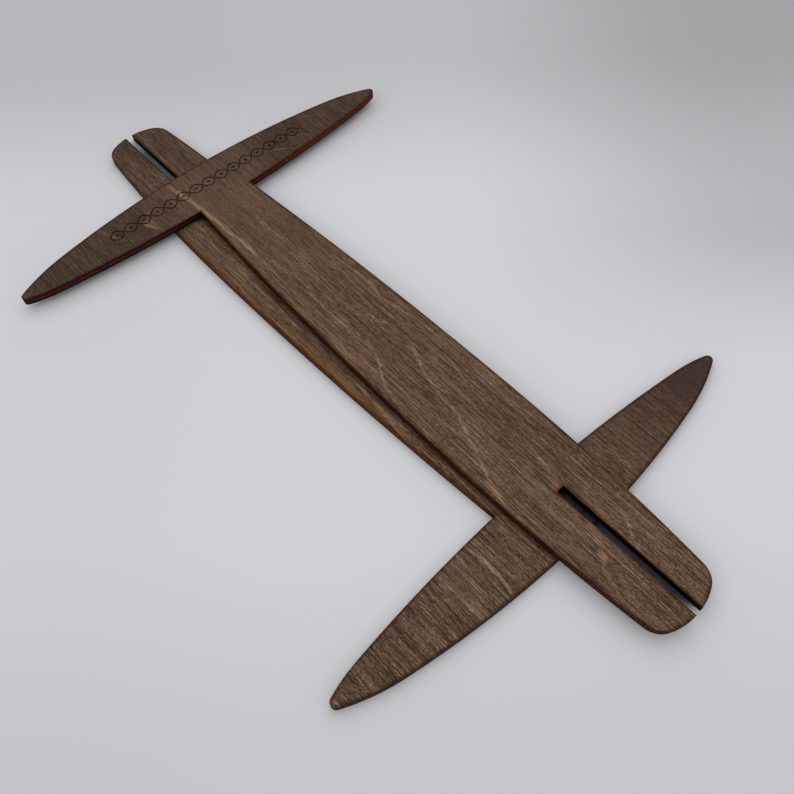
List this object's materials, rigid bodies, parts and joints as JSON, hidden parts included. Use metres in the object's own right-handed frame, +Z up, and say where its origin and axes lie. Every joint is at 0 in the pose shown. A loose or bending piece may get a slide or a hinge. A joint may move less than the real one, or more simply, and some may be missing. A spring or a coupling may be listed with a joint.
{
  "type": "flat-pack yarn winder",
  "caption": "Yarn winder of thin plywood boards with pointed cross arms and slotted ends, laid flat on each other; slotted together at right angles they hold a skein.",
  "frame": {"origin": "centre of the bounding box, on the surface that the lower board lies on", "axes": "+Z up through the boards; +X along the lower board, from its slotted end to its arms; +Y across, along the arms"},
  "size_m": [0.2924, 0.1798, 0.006],
  "materials": {
    "face_veneer": "brown stained, dry satin",
    "core_veneer": "stained cut edge, dark red-brown"
  },
  "bodies": {
    "lower_board": {"lower_back_veneer": "face_veneer", "lower_core_veneer": "core_veneer", "lower_face_veneer": "face_veneer"},
    "upper_board": {"upper_back_veneer": "face_veneer", "upper_core_veneer": "core_veneer", "upper_face_veneer": "face_veneer"}
  },
  "joints": [
    {"name": "upper_board_lift", "type": "slide", "parent": "lower_board", "child": "upper_board", "axis": [0, 0, 1], "range_m": [0, 0.06]}
  ]
}
